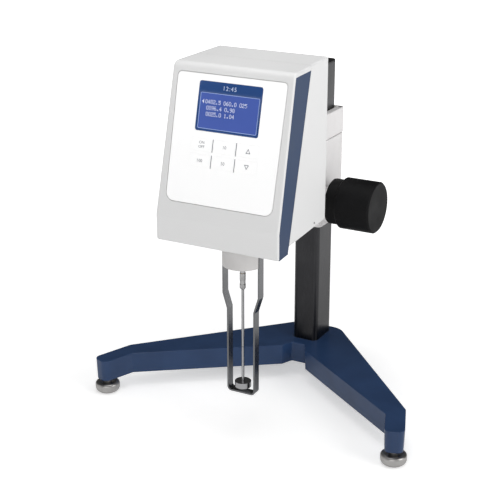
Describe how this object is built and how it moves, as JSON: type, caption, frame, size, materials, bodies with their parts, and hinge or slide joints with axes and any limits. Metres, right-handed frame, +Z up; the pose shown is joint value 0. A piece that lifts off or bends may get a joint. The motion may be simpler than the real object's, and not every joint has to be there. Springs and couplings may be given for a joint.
{
  "type": "rotational viscometer",
  "caption": "Rotational viscometer: a measuring head with a display, keys and a guarded disc spindle, raised by a rack and knob on a column over a splayed base with levelling feet.",
  "frame": {"origin": "on the bench, straight below the spindle, where the sample vessel's centre stands", "axes": "+Z up along the spindle, -Y towards the operator at the display, +X to the side of the height knob (the operator's right)"},
  "size_m": [0.3982, 0.2679, 0.4175],
  "materials": {
    "casting_paint": "satin",
    "foot_steel": "polished",
    "column_steel": "satin",
    "gear_steel": "machined",
    "carriage_paint": "satin",
    "screw_steel": "satin",
    "liner_plastic": "smooth",
    "knob_plastic": "fine grain",
    "arm_steel": "polished",
    "casing_plastic": "fine grain",
    "stripe_plastic": "satin",
    "panel_plastic": "smooth",
    "window_plastic": "clear hard coat over a printed frame",
    "display_glass": "back-lit liquid crystal",
    "key_plastic": "smooth",
    "circuit_board": "solder resist",
    "chassis_metal": "plain sheet",
    "black_plastic": "moulded",
    "socket_metal": "plated",
    "boss_paint": "satin",
    "guard_steel": "polished",
    "bearing_brass": "turned",
    "bearing_steel": "ground",
    "shaft_steel": "ground",
    "coupling_steel": "knurled",
    "spindle_steel": "polished",
    "spring_bronze": "drawn",
    "motor_metal": "plated"
  },
  "bodies": {
    "base": {"base_casting": "casting_paint", "column": "column_steel", "column_rack": "gear_steel", "column_fixings": "screw_steel", "column_cap": "black_plastic"},
    "pad_left": {"foot_pad_left": "foot_steel"},
    "stud_left": {"foot_stud_left": "foot_steel"},
    "pad_right": {"foot_pad_right": "foot_steel"},
    "stud_right": {"foot_stud_right": "foot_steel"},
    "pad_rear": {"foot_pad_rear": "foot_steel"},
    "stud_rear": {"foot_stud_rear": "foot_steel"},
    "knob": {"lift_knob": "knob_plastic", "knob_collar": "knob_plastic", "knob_fixings": "screw_steel", "pinion_shaft": "shaft_steel", "pinion": "gear_steel"},
    "drive": {"motor_shaft": "shaft_steel", "torsion_spring": "spring_bronze"},
    "spindle": {"pivot_shaft": "shaft_steel", "pivot_disc": "chassis_metal", "coupling_nut": "coupling_steel", "spindle": "spindle_steel"},
    "key_1": {"key_1": "key_plastic"},
    "key_2": {"key_2": "key_plastic"},
    "key_3": {"key_3": "key_plastic"},
    "key_4": {"key_4": "key_plastic"},
    "key_5": {"key_5": "key_plastic"},
    "key_6": {"key_6": "key_plastic"},
    "rocker": {"power_rocker": "black_plastic"},
    "lift": {"carriage_lower": "carriage_paint", "carriage_upper": "carriage_paint", "carriage_screws": "screw_steel", "column_liners": "liner_plastic", "gear_cover": "carriage_paint", "pinion_bushes": "bearing_brass", "head_arm": "arm_steel", "front_casing": "casing_plastic", "rear_casing": "casing_plastic", "side_stripes": "stripe_plastic", "front_panel": "panel_plastic", "display_window": "window_plastic", "display_module": "display_glass", "key_board": "circuit_board", "inner_screws": "screw_steel", "casing_screws": "screw_steel", "power_inlet": "black_plastic", "data_port": "socket_metal", "probe_socket": "socket_metal", "switch_frame": "black_plastic", "spindle_boss": "boss_paint", "guard_leg": "guard_steel", "pivot_bearing": "bearing_brass", "pivot_ball_bearing": "bearing_steel", "chassis": "chassis_metal", "chassis_posts": "screw_steel", "motor_plate": "chassis_metal", "bearing_bridge": "chassis_metal", "drive_motor": "motor_metal", "sensor_board": "circuit_board", "main_board": "circuit_board"}
  },
  "joints": [
    {"name": "foot_left_height", "type": "slide", "parent": "base", "child": "pad_left", "axis": [0, 0, 1], "range_m": [-0.008, 0.0035]},
    {"name": "foot_left_screw", "type": "hinge", "parent": "pad_left", "child": "stud_left", "pos_m": [-0.1845, -0.0015, 0.02], "axis": [0, 0, 1], "range_deg": [-1925, 845]},
    {"name": "foot_right_height", "type": "slide", "parent": "base", "child": "pad_right", "axis": [0, 0, 1], "range_m": [-0.008, 0.0035]},
    {"name": "foot_right_screw", "type": "hinge", "parent": "pad_right", "child": "stud_right", "pos_m": [0.1845, -0.0015, 0.02], "axis": [0, 0, 1], "range_deg": [-1925, 845]},
    {"name": "foot_rear_height", "type": "slide", "parent": "base", "child": "pad_rear", "axis": [0, 0, 1], "range_m": [-0.008, 0.0035]},
    {"name": "foot_rear_screw", "type": "hinge", "parent": "pad_rear", "child": "stud_rear", "pos_m": [0, 0.191, 0.02], "axis": [0, 0, 1], "range_deg": [-1925, 845]},
    {"name": "lift", "type": "slide", "parent": "base", "child": "lift", "axis": [0, 0, 1], "range_m": [-0.03, 0.057]},
    {"name": "knob_turn", "type": "hinge", "parent": "lift", "child": "knob", "pos_m": [0.06, 0.1525, 0.2296], "axis": [1, 0, 0], "range_deg": [-505, 267]},
    {"name": "motor_turn", "type": "hinge", "parent": "lift", "child": "drive", "pos_m": [0, 0, 0.31], "axis": [0, 0, 1], "continuous": true},
    {"name": "spindle_lag", "type": "hinge", "parent": "drive", "child": "spindle", "pos_m": [0, 0, 0.2], "axis": [0, 0, 1], "range_deg": [0, 85], "stiffness_Nm_per_rad": 0.000045},
    {"name": "key_1_press", "type": "slide", "parent": "lift", "child": "key_1", "axis": [0, 0.97, -0.2433], "range_m": [0, 0.00035], "stiffness_N_per_m": 3500},
    {"name": "key_2_press", "type": "slide", "parent": "lift", "child": "key_2", "axis": [0, 0.97, -0.2433], "range_m": [0, 0.00035], "stiffness_N_per_m": 3500},
    {"name": "key_3_press", "type": "slide", "parent": "lift", "child": "key_3", "axis": [0, 0.97, -0.2433], "range_m": [0, 0.00035], "stiffness_N_per_m": 3500},
    {"name": "key_4_press", "type": "slide", "parent": "lift", "child": "key_4", "axis": [0, 0.97, -0.2433], "range_m": [0, 0.00035], "stiffness_N_per_m": 3500},
    {"name": "key_5_press", "type": "slide", "parent": "lift", "child": "key_5", "axis": [0, 0.97, -0.2433], "range_m": [0, 0.00035], "stiffness_N_per_m": 3500},
    {"name": "key_6_press", "type": "slide", "parent": "lift", "child": "key_6", "axis": [0, 0.97, -0.2433], "range_m": [0, 0.00035], "stiffness_N_per_m": 3500},
    {"name": "power_rocker_tilt", "type": "hinge", "parent": "lift", "child": "rocker", "pos_m": [0.034, 0.0696, 0.362], "axis": [1, 0, 0], "range_deg": [-18, 0]}
  ],
  "couplings": [
    {"joint": "foot_left_screw", "follows": "foot_left_height", "rad_per_m": 4188.8},
    {"joint": "foot_right_screw", "follows": "foot_right_height", "rad_per_m": 4188.8},
    {"joint": "foot_rear_screw", "follows": "foot_rear_height", "rad_per_m": 4188.8},
    {"joint": "knob_turn", "follows": "lift", "rad_per_m": -153.85}
  ]
}
